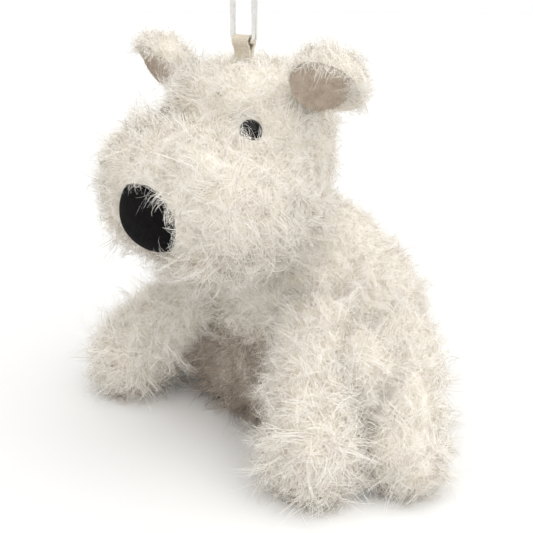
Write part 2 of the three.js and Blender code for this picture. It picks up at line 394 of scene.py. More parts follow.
def bumped(material, scale, distance):
    """Fine relief of a given depth in metres, chained onto any relief that is there."""
    place = object_place(material)
    noise = add_node(material, "ShaderNodeTexNoise", Scale=scale)
    bump = add_node(material, "ShaderNodeBump", Distance=distance, Strength=1.0)
    wire(material, place, "Object", noise, "Vector")
    wire(material, noise, "Fac", bump, "Height")
    normal = shader_of(material).inputs["Normal"]
    if normal.is_linked:
        material.node_tree.links.new(normal.links[0].from_socket, bump.inputs["Normal"])
    wire(material, bump, "Normal", shader_of(material), "Normal")


def rough_patches(material, scale, low, high):
    place = object_place(material)
    noise = add_node(material, "ShaderNodeTexNoise", Scale=scale, Detail=4.0)
    spread = add_node(material, "ShaderNodeMapRange")
    spread.inputs["To Min"].default_value = low
    spread.inputs["To Max"].default_value = high
    wire(material, place, "Object", noise, "Vector")
    wire(material, noise, "Fac", spread, "Value")
    wire(material, spread, "Result", shader_of(material), "Roughness")


def cloth_backing():
    material = new_material("pile_backing", (0.84, 0.79, 0.70), 0.95, Sheen_Weight=0.3)
    mottled(material, 260, [(0.3, (0.78, 0.72, 0.62)), (0.7, (0.88, 0.84, 0.76))])
    bumped(material, 1400, 0.0004)
    return material


def pile_shades():
    """Root to tip: painted warm shade deep in the pile, where the strands shade each other, and paler
    towards the tips; the darkest is painted shadow on the belly, under the beard and on the soles.
    """
    tones = {
        "pile_painted_shadow": (0.43, 0.35, 0.28),
        "pile_root_painted_shade": (0.85, 0.785, 0.69),
        "pile_warm": (0.89, 0.845, 0.77),
        "pile_pale": (0.92, 0.885, 0.825),
        "pile_tip": (0.94, 0.915, 0.87),
        "pile_bright": (0.965, 0.95, 0.92),
    }
    return [new_material(name, tone, 0.75, Sheen_Weight=0.3) for name, tone in tones.items()]


def lining_shades():
    # Brown lining nap from root to tip, painted darker at the roots where the nap shades itself, and
    # darkest in the painted shade of the ear's fold.
    tones = {
        "lining_painted_shadow": (0.26, 0.19, 0.13),
        "lining_root": (0.38, 0.29, 0.22),
        "lining_brown": (0.48, 0.38, 0.29),
        "lining_beige": (0.56, 0.46, 0.36),
        "lining_tip": (0.60, 0.51, 0.42),
        "lining_pale": (0.72, 0.63, 0.53),
    }
    return [new_material(name, tone, 0.8, Sheen_Weight=0.3) for name, tone in tones.items()]


def lining_cloth():
    material = new_material("lining_cloth", (0.50, 0.41, 0.33), 0.9, Sheen_Weight=0.4)
    mottled(material, 400, [(0.3, (0.42, 0.34, 0.27)), (0.7, (0.58, 0.49, 0.40))])
    bumped(material, 2500, 0.0002)
    return material


def suede():
    material = new_material("nose_suede", (0.004, 0.0035, 0.004), 0.95, Specular_IOR_Level=0.12)
    mottled(material, 900, [(0.35, (0.003, 0.0025, 0.003)), (0.7, (0.007, 0.006, 0.0065))])
    bumped(material, 5200, 0.00008)
    bumped(material, 700, 0.0002)
    return material


def eye_plastic():
    material = new_material("eye_plastic", (0.006, 0.005, 0.006), 0.24, Specular_IOR_Level=0.2)
    mottled(material, 500, [(0.3, (0.004, 0.004, 0.005)), (0.8, (0.009, 0.008, 0.009))])
    rough_patches(material, 900, 0.2, 0.36)
    return material


def woven_tape():
    material = new_material("woven_tape", (0.68, 0.61, 0.49), 0.8, Sheen_Weight=0.2)
    mottled(material, 1500, [(0.3, (0.58, 0.51, 0.40)), (0.7, (0.76, 0.69, 0.57))])
    bumped(material, 6000, 0.00005)
    return material


def polished_ring():
    material = new_material("ring_steel", (0.78, 0.77, 0.75), 0.2, Metallic=1.0)
    mottled(material, 700, [(0.3, (0.70, 0.69, 0.66)), (0.7, (0.84, 0.83, 0.81))])
    rough_patches(material, 1600, 0.12, 0.32)
    bumped(material, 3000, 0.00001)
    return material


def loose_fibre():
    material = new_material("loose_fibre", (0.86, 0.85, 0.82), 1.0)
    mottled(material, 500, [(0.3, (0.78, 0.77, 0.74)), (0.7, (0.92, 0.91, 0.89))])
    bumped(material, 2200, 0.0006)
    return material


def washer_plastic():
    material = new_material("washer_plastic", (0.85, 0.85, 0.83), 0.5)
    mottled(material, 600, [(0.3, (0.80, 0.80, 0.78)), (0.7, (0.88, 0.88, 0.86))])
    bumped(material, 2600, 0.00002)
    return material


def paint(thing, *materials):
    thing.data.materials.clear()
    for material in materials:
        thing.data.materials.append(material)


BACKING = cloth_backing()
PILE = pile_shades()
LINING = lining_shades()
FIBRE = loose_fibre()

# ---- Stuffed skins ---------------------------------------------------------------------------------

SIMULATION_SCALE = 8  # cloth settings suit objects of about half a metre
SIMULATION_FRAMES = 20
INNER_PRESSURE = 4
SWELL_CAP = 1.6
SKIN_UNDERSIZE = 0.6
SKIN_VOXEL = 2.0
TAIL_VOXEL = 1.2
STEM_VOXEL = 1.0
SKIN_LUMPS = 0.55
TAIL_LUMPS = 0.2
STUFFING_DEPTH = 2.4
STUFFING_UNEVEN = 0.7
STUFFING_RANGE = (1.4, 3.6)


def raw_skin(name, shapes, voxel=SKIN_VOXEL):
    """The forms merged to one closed, slightly undersized surface, ready to be blown up."""
    points, faces = merged(shapes)
    skin = link_mesh(name, points, faces)
    remesh = skin.modifiers.new("merge", "REMESH")
    remesh.mode = "VOXEL"
    remesh.voxel_size = voxel * MM
    soften = skin.modifiers.new("soften", "SMOOTH")
    soften.factor = 0.5
    soften.iterations = 6
    bake_modifiers(skin)
    set_points(skin, points_of(skin) - normals_of(skin) * SKIN_UNDERSIZE)
    return skin


def blow_up(skins):
    """Cloth simulation under inner pressure, all skins at once, with the movement capped."""
    rest = {skin.name: points_of(skin) for skin in skins}
    for skin in skins:
        set_points(skin, rest[skin.name] * SIMULATION_SCALE)
        cloth = skin.modifiers.new("pressure", "CLOTH")
        cloth.settings.use_pressure = True
        cloth.settings.uniform_pressure_force = INNER_PRESSURE
        cloth.settings.effector_weights.gravity = 0
        cloth.settings.mass = 0.2
        cloth.settings.quality = 4
    for step in range(1, SIMULATION_FRAMES + 1):
        bpy.context.scene.frame_set(step)
    for skin in skins:
        bake_modifiers(skin)
        moved = points_of(skin) / SIMULATION_SCALE - rest[skin.name]
        far = np.linalg.norm(moved, axis=1, keepdims=True)
        set_points(skin, rest[skin.name] + moved * np.minimum(1, SWELL_CAP / np.maximum(far, 1e-6)))
    bpy.context.scene.frame_set(1)


def finish_skin(skin, lumps):
    """Lumps of stuffing under the cloth, one subdivision, and flat where it rests on the ground."""
    smooth = skin.modifiers.new("smooth", "SMOOTH")
    smooth.iterations = 3
    divide = skin.modifiers.new("divide", "SUBSURF")
    divide.levels = 1
    divide.render_levels = 1
    bake_modifiers(skin)
    points = points_of(skin)
    lump = waves(points, 13, 11)[:, 0] * lumps + waves(points, 5, 12)[:, 0] * lumps * 0.4
    points += normals_of(skin) * lump[:, None]
    points[:, 2] = np.maximum(points[:, 2], GROUND)
    set_points(skin, points)
    paint(skin, BACKING)


def stuff(skin, node, body):
    """Loose fibre inside a skin: the skin's own shape, drawn in and made lumpy."""
    core = skin.copy()
    core.data = skin.data.copy()
    core.name = node + "_fibre"
    core.data.name = core.name
    bpy.context.scene.collection.objects.link(core)
    thin = core.modifiers.new("thin", "DECIMATE")
    thin.ratio = 0.2
    bake_modifiers(core)
    points = points_of(core)
    depth = np.clip(STUFFING_DEPTH + STUFFING_UNEVEN * waves(points, 6, 21)[:, 0], *STUFFING_RANGE)
    set_points(core, points - normals_of(core) * depth[:, None])
    paint(core, FIBRE)
    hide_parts(node)
    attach(core, body)


def limb_shapes(leg, joint_name, side):
    foot = mirrored(leg["foot"], side)
    shapes = list(chain(JOINTS[joint_name], foot, leg["top"], leg["end"]))
    shapes.append({"at": foot, "size": np.array(leg["sole"], float), "square": 2.2})
    return shapes


def make_skins():
    """Every stuffed skin by its body's name."""
    plans = {
        "root": ("body", [CHEST, BACK, RUMP, SCRUFF, BELLY, *FLANKS]),
        "head": ("head", [SKULL, MUZZLE, JAW, NAPE]),
        "tail": ("tail", list(chain(JOINTS["tail_wag"], TAIL_FOOT, TAIL_TOP, TAIL_END))),
    }
    for word, side in SIDES.items():
        for kind, leg, motion in (("front_leg", FRONT_LEG, "swing"), ("hind_leg", HIND_LEG, "splay")):
            body = f"{kind}_{word}"
            plans[body] = (body, limb_shapes(leg, f"{body}_{motion}", side))
    skins = {}
    for body, (name, shapes) in plans.items():
        skins[body] = raw_skin(name + "_skin", shapes, TAIL_VOXEL if body == "tail" else SKIN_VOXEL)
    blow_up(list(skins.values()))
    for body, skin in skins.items():
        finish_skin(skin, TAIL_LUMPS if body == "tail" else SKIN_LUMPS)
        name = plans[body][0]
        stuff(skin, name + "_stuffing", body)
        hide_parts(name + "_cover")
        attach(skin, body)
    return skins


def neck_core():
    """The fibre ball that the head turns on."""
    ball = raw_skin("neck_stuffing_fibre", [{"at": NECK, "size": np.full(3, NECK_RADIUS), "square": 2.0}])
    points = points_of(ball)
    set_points(ball, points + normals_of(ball) * waves(points, 6, 31)[:, :1] * 0.4)
    paint(ball, FIBRE)
    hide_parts("neck_stuffing")
    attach(ball, "neck")


# ---- Ears ------------------------------------------------------------------------------------------


def ear_frame(side):
    """Rotation and place of an ear: its own -Y is the way that its hollow looks."""
    turn = Matrix.Rotation(math.radians(side * EAR_TURN), 3, "Z")
    lean = Matrix.Rotation(math.radians(EAR_FOLD), 3, "X")
    return np.array(turn @ lean), mirrored(EAR_AT, side)


def ear_profile(kind, steps=14):
    """(share of the outline, height along the ear's own Y) from the back's middle to the hollow's."""
    depth = EAR_SIZE[1]
    rim = math.sqrt(1 - (EAR_HOLLOW / 2 / depth) ** 2)
    inner = np.linspace(rim, 0.06, steps)

    def bow(share):
        return depth * np.sqrt(np.maximum(0, 1 - share**2))

    if kind == "shell":
        outer = np.sin(np.linspace(0.06, math.pi / 2, steps))
        turned = np.linspace(1, rim, 4)[1:-1]
        share = np.concatenate([outer, turned, inner])
        height = np.concatenate([bow(outer), -bow(turned), bow(inner) - EAR_HOLLOW])
    else:
        near, far = LINING_FACES
        share = np.concatenate([inner[::-1] * 0.99, inner])
        height = np.concatenate([bow(inner[::-1]) - EAR_HOLLOW - near, bow(inner) - EAR_HOLLOW - far])
    return share, height


def ear_bow(x, z):
    """Height of the ear's own dome over a place in its outline."""
    return EAR_SIZE[1] * np.sqrt(np.maximum(0, 1 - (x / EAR_SIZE[0]) ** 2 - (z / EAR_SIZE[2]) ** 2))


def lining_patch(local):
    """The lining drawn in to the part of the hollow that the pile leaves free."""
    over = local[:, 1] - (ear_bow(local[:, 0], local[:, 2]) - EAR_HOLLOW)
    x = local[:, 0] * PATCH_SHARE[0] + PATCH_SHIFT[0]
    z = local[:, 2] * PATCH_SHARE[1] + PATCH_SHIFT[1]
    return np.stack([x, ear_bow(x, z) - EAR_HOLLOW + over, z], 1)


def ear_piece(name, kind, side, around=40):
    share, height = ear_profile(kind)
    turn = np.linspace(0, 2 * math.pi, around, endpoint=False)
    ring = np.stack([np.cos(turn) * EAR_SIZE[0], np.zeros(around), np.sin(turn) * EAR_SIZE[2]], 1)
    local = (share[:, None, None] * ring[None]) + height[:, None, None] * np.array((0, 1, 0))
    local = local.reshape(-1, 3)
    if kind == "lining":
        local = lining_patch(local)
    local += unit(local) * waves(local, 7, 41)[:, :1] * 0.35
    rotation, at = ear_frame(side)
    piece = link_mesh(name, local @ rotation.T + at, capped(len(share), around))
    divide = piece.modifiers.new("divide", "SUBSURF")
    divide.levels = 1
    bake_modifiers(piece)
    return piece


def make_ears():
    ears = {}
    backing = lining_cloth()
    for word, side in SIDES.items():
        body = f"ear_{word}"
        shell = ear_piece(f"{body}_skin", "shell", side)
        paint(shell, BACKING)
        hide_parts(f"ear_cover_{word}")
        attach(shell, body)
        root = JOINTS[f"{body}_flop"]
        rotation, at = ear_frame(side)
        top = rotation @ EAR_STEM_TOP + at
        balls = list(chain(root, top, EAR_ROOT_RADIUS, EAR_STEM_TOP_RADIUS, 6))
        stem = raw_skin(f"{body}_stem", balls, STEM_VOXEL)
        paint(stem, BACKING)
        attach(stem, body)
        lining = ear_piece(f"{body}_lining", "lining", side)
        paint(lining, backing)
        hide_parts(f"ear_lining_{word}")
        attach(lining, body)
        ears[body] = (shell, stem, lining)
    return ears


# ---- Pile ------------------------------------------------------------------------------------------

TRIANGLES_PER_PIECE = 187000
LENGTH_SPREAD = (0.6, 1.08)  # of the strands in one lock
LENGTH_RIPPLE = 0.16  # over the coat
LOOSE_LENGTH = 0.9
ROOT_SINK = 0.5
TIP_WIDTH = 0.4
TONE_PATCHES = 0.35
TONE_SPREAD = 0.2
DOWN = np.array((0, 0, -1.0))


def triangles_of(thing):
    thing.data.calc_loop_triangles()
    corners = np.empty(len(thing.data.loop_triangles) * 3, np.int32)
    thing.data.loop_triangles.foreach_get("vertices", corners)
    corners = corners.reshape(-1, 3)
    return points_of(thing)[corners], normals_of(thing)[corners]


def scatter(thing, per_square_mm, rng):
    """Roots spread evenly over a surface, with the surface's normals."""
    corners, normals = triangles_of(thing)
    first, second = corners[:, 1] - corners[:, 0], corners[:, 2] - corners[:, 0]
    area = np.linalg.norm(np.cross(first, second), axis=1) / 2
    count = int(area.sum() * per_square_mm)
    place = (np.arange(count) + rng.random(count)) / count * area.sum()
    which = np.minimum(np.searchsorted(np.cumsum(area), place), len(area) - 1)
    a, b = rng.random((2, count, 1))
    fold = a + b > 1
    a, b = np.where(fold, 1 - a, a), np.where(fold, 1 - b, b)
    share = np.concatenate([1 - a - b, a, b], 1)[:, :, None]
    return (corners[which] * share).sum(1), unit((normals[which] * share).sum(1))


def turned(ways, axis, angle):
    """Directions turned about an axis, each by its own angle."""
    cos, sin = np.cos(angle)[:, :, None], np.sin(angle)[:, :, None]
    along = (ways * axis).sum(-1, keepdims=True)
    return ways * cos + np.cross(np.broadcast_to(axis, ways.shape), ways) * sin + axis * along * (1 - cos)


def bent_lines(way, axis, bend, length):
    """Lines that set off along their own way and curl about an axis towards their tips."""
    share = np.linspace(0, 1, way.shape[1])
    ways = turned(way, axis, bend[:, None] * share[None, :] ** 1.1)
    step = length[:, None, None] / (way.shape[1] - 1)
    line = np.cumsum(ways * step, 1)
    return line - line[:, :1]


def grow(roots, normals, flow, length, curl, style, rng):
    """Locks of pile: a curled guide line for each lock, with its strands drawn towards the line's tip.

    Returns strand points (strands, points, 3), their outward normals and their lock's number."""
    locks = len(roots)
    share = np.linspace(0, 1, style["points"])
    flow = unit(flow - normals * (flow * normals).sum(1, keepdims=True) * 0.7)
    lean = style["lean"][0] + (style["lean"][1] - style["lean"][0]) * share
    lean = np.clip(lean[None, :] + rng.normal(0, 0.14, (locks, 1)), 0, 0.95)[:, :, None]
    tilt = rng.normal(size=(locks, 1, 3)) * style["fan"]
    way = unit(normals[:, None] * (1 - lean) + flow[:, None] * lean + tilt)
    axis = unit(np.cross(way[:, :1], rng.normal(size=(locks, 1, 3))))
    bend = rng.uniform(*style["bend"], locks) * curl
    guide = bent_lines(way, axis, bend, length)

    lock = np.repeat(np.arange(locks), style["strands"])
    count = len(lock)
    spread = rng.normal(size=(count, 3)) * style["spread"]
    spread -= normals[lock] * (spread * normals[lock]).sum(1, keepdims=True)
    draw = 1 - style["clump"] * share[None, :, None] ** 0.8
    shorter = rng.uniform(*LENGTH_SPREAD, (count, 1, 1))
    tight = guide[lock] * shorter + spread[:, None] * draw

    own_way = unit(way[lock] + rng.normal(size=(count, 1, 3)) * 0.45)
    own_axis = unit(np.cross(own_way[:, :1], rng.normal(size=(count, 1, 3))))
    own_bend = rng.uniform(*style["own_bend"], count)
    own_length = length[lock] * shorter[:, 0, 0] * LOOSE_LENGTH
    free = bent_lines(own_way, own_axis, own_bend, own_length) + spread[:, None]
    loose = rng.random((count, 1, 1)) < style["loose"]
    strand = np.where(loose, free, tight)
    strand = strand + rng.normal(size=(count, 1, 3)) * (share**1.3)[None, :, None] * style["fuzz"]
    sink = normals[lock][:, None] * ROOT_SINK
    return roots[lock][:, None] + strand - sink, normals[lock], lock


def keep_in(points):
    """Holds strands above the ground and inside the room round the frame's box."""
    low = np.array(cad_box[0]) / MM - PROUD
    high = np.array(cad_box[1]) / MM + PROUD
    low[2] = GROUND
    return np.clip(points, low, high)


def ribbons(points, normals, rng, width):
    """Flat tapered ribbons along strands, faces outward: their vertices and shading normals."""
    steps = points.shape[1]
    along = np.gradient(points, axis=1)
    face = unit(normals + rng.normal(0, 0.35, normals.shape))[:, None]
    across = unit(np.cross(along, face))
    front = unit(np.cross(across, along))
    wide = width[:, None] * np.linspace(1, TIP_WIDTH, steps)[None, :]
    half = across * wide[:, :, None] / 2
    pairs = np.stack([points - half, points + half], 2)
    body = pairs[:, :-1].reshape(len(points), -1, 3)
    upright = (unit(along) * normals[:, None]).sum(-1, keepdims=True) ** 2
    share = SOFT_SHADING * (1 - upright)
    soft = unit(normals[:, None] * share + front * (1 - share))
    twice = np.repeat(soft[:, :-1], 2, 1)
    return np.concatenate([body, points[:, -1:]], 1), np.concatenate([twice, soft[:, -1:]], 1)


def strand_mesh(name, vertices, normals, shades, materials):
    """One mesh of many ribbons: quads with a last triangle at each tip."""
    count, per = vertices.shape[:2]
    quads = (per - 1) // 2 - 1
    pattern = []
    for j in range(quads):
        pattern += [2 * j, 2 * j + 1, 2 * j + 3, 2 * j + 2]
    pattern += [2 * quads, 2 * quads + 1, 2 * quads + 2]
    corners = (np.arange(count)[:, None] * per + np.array(pattern)[None]).ravel()
    begin = np.concatenate([np.arange(quads) * 4, [quads * 4]])
    starts = (np.arange(count)[:, None] * len(pattern) + begin[None]).ravel()
    mesh = bpy.data.meshes.new(name)
    mesh.vertices.add(count * per)
    mesh.vertices.foreach_set("co", (vertices.reshape(-1, 3) * MM).astype(np.float32).ravel())
    mesh.loops.add(len(corners))
    mesh.loops.foreach_set("vertex_index", corners.astype(np.int32))
    mesh.polygons.add(len(starts))
    mesh.polygons.foreach_set("loop_start", starts.astype(np.int32))
    mesh.polygons.foreach_set("material_index", shades.astype(np.int32).ravel())
    mesh.update(calc_edges=True)
    mesh.shade_smooth()
    mesh.normals_split_custom_set_from_vertices(normals.reshape(-1, 3).tolist())
    for material in materials:
        mesh.materials.append(material)
    thing = bpy.data.objects.new(name, mesh)
    bpy.context.scene.collection.objects.link(thing)
    return thing


def shade_strands(count, lock, tone, rng, faces):
    """Material numbers along each strand: painted shade at the root, deep in the pile, and paler towards
    the tip.
    """
    share = (np.arange(faces) + 0.5) / faces
    level = 1 + share[None, :] * SHADE_RISE + tone[lock][:, None] + rng.normal(0, 0.25, (count, 1))
    return np.clip(np.floor(level), 0, len(PILE) - 1)


def add_pile(name, body, roots, normals, flow, length, curl, style, materials, seed):
    rng = np.random.default_rng(seed)
    points, facing, lock = grow(roots, normals, flow, length, curl, style, rng)
    points = keep_in(points)
    width = rng.uniform(*style["width"], len(points))
    vertices, shading = ribbons(points, facing, rng, width)
    tone = waves(roots, 9, seed + 1)[:, 0] * TONE_PATCHES + rng.normal(0, TONE_SPREAD, len(roots))
    tone = tone + style["tone"]
    faces = style["points"] - 1
    shades = shade_strands(len(points), lock, tone, rng, faces)
    pieces = max(1, math.ceil(len(points) * (2 * faces - 1) / TRIANGLES_PER_PIECE))
    for number, rows in enumerate(np.array_split(np.arange(len(points)), pieces), 1):
        piece = strand_mesh(f"{name}_{number}", vertices[rows], shading[rows], shades[rows], materials)
        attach(piece, body)


SHADE_RISE = 3.2  # steps of painted shade from a strand's root, deep in the pile, to its paler tip
SOFT_SHADING = 0.88  # how far a lying strand is shaded as part of the whole coat
FLUFF = {
    "strands": 1, "points": 6, "spread": 0.4, "clump": 0.0, "loose": 1.0, "fuzz": 0.25, "fan": 0.35,
    "lean": (0.1, 0.7), "bend": (0.6, 1.9), "own_bend": (2.0, 4.4), "width": (0.12, 0.2), "tone": 0.4,
}
LOCKS = {
    "strands": 11, "points": 7, "spread": 1.1, "clump": 0.5, "loose": 0.3, "fuzz": 0.3, "fan": 0.15,
    "lean": (0.0, 0.85), "bend": (1.8, 4.2), "own_bend": (1.8, 4.0), "width": (0.08, 0.13), "tone": 0.4,
}
WISPS = {
    "strands": 5, "points": 8, "spread": 0.7, "clump": 0.5, "loose": 0.15, "fuzz": 0.15, "fan": 0.25,
    "lean": (0.0, 0.75), "bend": (2.2, 4.2), "own_bend": (2.0, 4.0), "width": (0.08, 0.13), "tone": 1.2,
}
NAP = {
    "strands": 1, "points": 4, "spread": 0.2, "clump": 0.0, "loose": 1.0, "fuzz": 0.15, "fan": 0.2,
    "lean": (0.3, 0.85), "bend": (0.2, 1.0), "own_bend": (0.5, 2.0), "width": (0.07, 0.12), "tone": 0.8,
}
NAP_PER_SQUARE_MM = 6.5
COAT = [
    # (style, roots per square millimetre, share of the region's length, name)
    (FLUFF, 1.9, 0.76, "fluff"),
    (LOCKS, 0.16, 1.0, "locks"),
    (WISPS, 0.05, 1.15, "wisps"),
]


def swirl(points, seed):
    return waves(points, 17, seed) * 0.55 + waves(points, 6, seed + 1) * 0.45


def length_ripple(points, seed):
    return 1 + LENGTH_RIPPLE * waves(points, 11, seed)[:, 0]


def coat(name, body, surfaces, plan, seed, thickness=1.0):
    """Every layer of the coat on some surfaces.

    The plan gives, for some roots, which to keep, the flow, the length, the curl and the painted shade.
    The thickness multiplies the number of roots."""
    for layer, (style, per_square_mm, share, word) in enumerate(COAT):
        rng = np.random.default_rng(seed + 10 * layer)
        found = [scatter(surface, per_square_mm * thickness, rng) for surface in surfaces]
        roots, normals = (np.concatenate(parts) for parts in zip(*found))
        keep, *rest = plan(roots, normals)
        roots, normals, flow, length, curl, tone = (part[keep] for part in (roots, normals, *rest))
        toned = {**style, "tone": style["tone"] + tone}
        add_pile(f"{name}_{word}", body, roots, normals, flow, length * share, curl, toned,
                 PILE, seed + 10 * layer + 5)


def ear_place(roots, side):
    """Places in an ear's own frame, and how far out from its middle they are, 1 at its outline."""
    rotation, at = ear_frame(side)
    local = (roots - at) @ rotation
    return local, np.hypot(local[:, 0] / EAR_SIZE[0], local[:, 2] / EAR_SIZE[2])


def uncovered(roots, region):
    """True at the roots that no neighbouring form covers."""
    return np.all([depth_in(shape, roots) > depth for shape, depth in COVERS[region]], axis=0)


def brow_share(roots):
    """1 on a tuft beside the bridge, on the dog's right, and 0 away from it."""
    across = ((roots[:, 0] - BROW_AT[0]) / BROW_SIZE[0]) ** 4
    up = ((roots[:, 2] - BROW_AT[1]) / BROW_SIZE[1]) ** 4
    return np.exp(-across - up) * (roots[:, 1] < SKULL["at"][1])


def head_plan(roots, normals):
    keep = uncovered(roots, "head")
    nose = NOSE["at"]
    away = unit(roots - nose)
    near_nose = np.clip(1 - (depth_in(NOSE, roots) - 1) / 0.7, 0, 1)[:, None]
    low = falling(roots[:, 2], *BEARD_BELOW)
    front = falling(roots[:, 1], NECK[1] - 2, 6)
    flow = away * 0.9 + DOWN * (0.5 + 1.2 * low[:, None]) + swirl(roots, 102)
    over = (roots[:, 2] > nose[2] + 1)[:, None] * near_nose
    flow = flow * (1 - over) + (DOWN * 0.8 - away * 0.5) * over
    beside_nose = near_nose[:, 0] * (roots[:, 2] < nose[2] + 1)
    snout = falling(roots[:, 1], SKULL["at"][1] - 8, 10) * rising(roots[:, 2], *SNOUT_ABOVE)
    length = HEAD_PILE + SNOUT_PILE_MORE * snout + BEARD_MORE * low * front
    length *= length_ripple(roots, 103)
    brow = brow_share(roots)
    length = length * (1 - 0.45 * beside_nose) + BROW_MORE * brow
    flow += normals * 4 * brow[:, None]
    curl = CURL["head"] + 0.3 * low * front + 0.3 * over[:, 0]
    for side in SIDES.values():
        eye = mirrored(on_surface(SKULL, EYE_DIRECTION)[0], side) + (side * 1.2, 0, 0)
        gap = np.linalg.norm(roots - eye, axis=1)
        outside = rising(roots[:, 0] * side, abs(eye[0]) - 3.5, 2.5)
        near = np.clip(1 - (gap - EYE_CLEARING[0]) / EYE_CLEARING[1], 0, 1)
        near = near * outside * (1 if side > 0 else 0.85)
        length *= 1 - 0.75 * near
        flow += unit(roots - eye) * near[:, None] * 1.6
        local, share = ear_place(roots, side)
        under_ear = (share < 1.2) & (local[:, 1] < 3) & (local[:, 1] > -9)
        length = np.where(under_ear, length * 0.45, length)
    # The last value paints shade on the beard under the jaw.
    return keep, flow, length, curl, BEARD_PAINTED_SHADE * low * front


def body_plan(roots, normals):
    keep = uncovered(roots, "body") & (roots[:, 2] > LOWEST_ROOT)
    out = unit((roots - CHEST["at"]) * (1, 1, 0))
    flow = DOWN * 0.9 + out * 0.3 + swirl(roots, 202) * 0.8
    x, y, z = roots.T - np.array((0, Y0, 0))[:, None]
    side = np.abs(x)
    flank = rising(side, *FLANK_OUTSIDE) * falling(y, *FLANK_AHEAD) * rising(z, *FLANK_ABOVE)
    belly = falling(side, *BELLY_INSIDE) * falling(y, *BELLY_AHEAD) * falling(z, *BELLY_BELOW)
    length = (BODY_PILE + FLANK_PILE_MORE * flank + BELLY_PILE_MORE * belly) * length_ripple(roots, 203)
    flow += out * (flank[:, None] * 1.2) + DOWN * belly[:, None]
    # The last value paints shadow on the belly, under the head and between the legs.
    return keep, flow, length, np.full(len(roots), CURL["body"]), BELLY_PAINTED_SHADOW * belly


def leg_plan(body, foot, seed):
    joint = JOINTS[body + ("_swing" if "front" in body else "_splay")]
    along = unit(foot - joint)
    more = PAW_PILE_MORE["front_leg" if "front" in body else "hind_leg"]

    def plan(roots, normals):
        keep = uncovered(roots, "leg") & (roots[:, 2] > LOWEST_ROOT)
        flow = along * 0.7 + DOWN * 0.25 + swirl(roots, seed + 1) * 0.8
        down_leg = np.clip((roots - joint) @ along / np.linalg.norm(foot - joint), 0, 1)
        length = (LEG_PILE + more * down_leg) * length_ripple(roots, seed + 2)
        # painted shade on the downward-facing undersides near the ground
        under = np.clip(-normals[:, 2], 0, 1) * falling(roots[:, 2], *SOLE_BELOW)
        return keep, flow, length, np.full(len(roots), CURL["leg"]), SOLE_PAINTED_SHADE * under

    return plan


def tail_plan(roots, normals):
    keep = uncovered(roots, "tail")
    flow = np.array((0, 1.0, 0.3)) + swirl(roots, 502) * 0.6
    length = TAIL_PILE * length_ripple(roots, 503)
    return keep, flow, length, np.full(len(roots), CURL["tail"]), np.zeros(len(roots))


def ear_plan(side, seed):
    rotation = ear_frame(side)[0]

    def plan(roots, normals):
        local = ear_place(roots, side)[0]
        facing = normals @ rotation
        upper = np.clip(0.5 + local[:, 2] / 12 + local[:, 0] / 8, 0, 1)
        patch = (local[:, (0, 2)] - PATCH_SHIFT) / (EAR_SIZE[[0, 2]] * PATCH_SHARE)
        keep = (facing[:, 1] > -0.1) | (np.linalg.norm(patch, axis=1) > 0.97)
        out = unit(local * (1, 0, 1))
        back = np.array((0, 1.0, 0)) * np.clip(facing[:, 1:2] + 0.2, 0, 1)
        flow = (out + back * 0.4) @ rotation.T + swirl(roots, seed + 1) * 0.5
        long = np.maximum(upper, 0.95 * np.clip(facing[:, 1], 0, 1))
        length = (EAR_PILE + EAR_PILE_MORE * long) * length_ripple(roots, seed + 2)
        hollow = (facing[:, 1] < 0.3)[:, None] * upper[:, None]
        over_rim = (out * 1.2 - np.array((0, 0.35, 0))) @ rotation.T
        flow = flow * (1 - hollow) + over_rim * hollow
        return keep, flow, length, np.full(len(roots), CURL["ear"]), np.zeros(len(roots))

    return plan


def lining_nap(body, lining, side, seed):
    """A short brushed nap on the lining's free side, with painted shade that darkens it towards its low
    inner end.
    """
    rng = np.random.default_rng(seed)
    rotation = ear_frame(side)[0]
    roots, normals = scatter(lining, NAP_PER_SQUARE_MM, rng)
    front = (normals @ rotation)[:, 1] < 0.1
    roots, normals = roots[front], normals[front]
    flow = rotation @ np.array((0, -0.2, -1.0)) + swirl(roots, seed + 4) * 0.7
    length = LINING_PILE * length_ripple(roots, seed + 5)
    local = ear_place(roots, side)[0]
    # painted shade: darker towards the lining's low inner end, as if shaded by the ear's fold
    fold = 1.5 - 3.2 * np.clip(0.3 - local[:, 2] / 8 + local[:, 0] / 14, 0, 1)
    style = {**NAP, "tone": NAP["tone"] + fold}
    name = f"{body}_lining_nap"
    curl = np.ones(len(roots))
    add_pile(name, body, roots, normals, flow, length, curl, style, LINING, seed + 6)


# ---- Nose and eyes ---------------------------------------------------------------------------------


def make_nose():
    """The suede patch, puckered and a little uneven."""
    points, faces = form_mesh(NOSE, 40, 64)
    nose = link_mesh("nose", points, faces)
    normals = normals_of(nose)
    pucker = waves(points, 5, 61)[:, 0] * 0.12 + waves(points, 1.6, 62)[:, 0] * 0.03
    set_points(nose, points + normals * pucker[:, None])
    paint(nose, suede())
    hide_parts("nose_patch")
    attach(nose, "head")


def lathe(name, profile, origin, axis, around=40):
    """A surface of revolution from (radius, height) pairs, closed at both ends."""
    axis = Vector(axis).normalized()
    rotation = np.array(axis.to_track_quat("Z", "Y").to_matrix())
    turn = np.linspace(0, 2 * math.pi, around, endpoint=False)
    rings = [np.stack([np.cos(turn) * r, np.sin(turn) * r, np.full(around, h)], 1) for r, h in profile]
    points = np.concatenate(rings) @ rotation.T + origin
    return link_mesh(name, points, capped(len(profile), around))


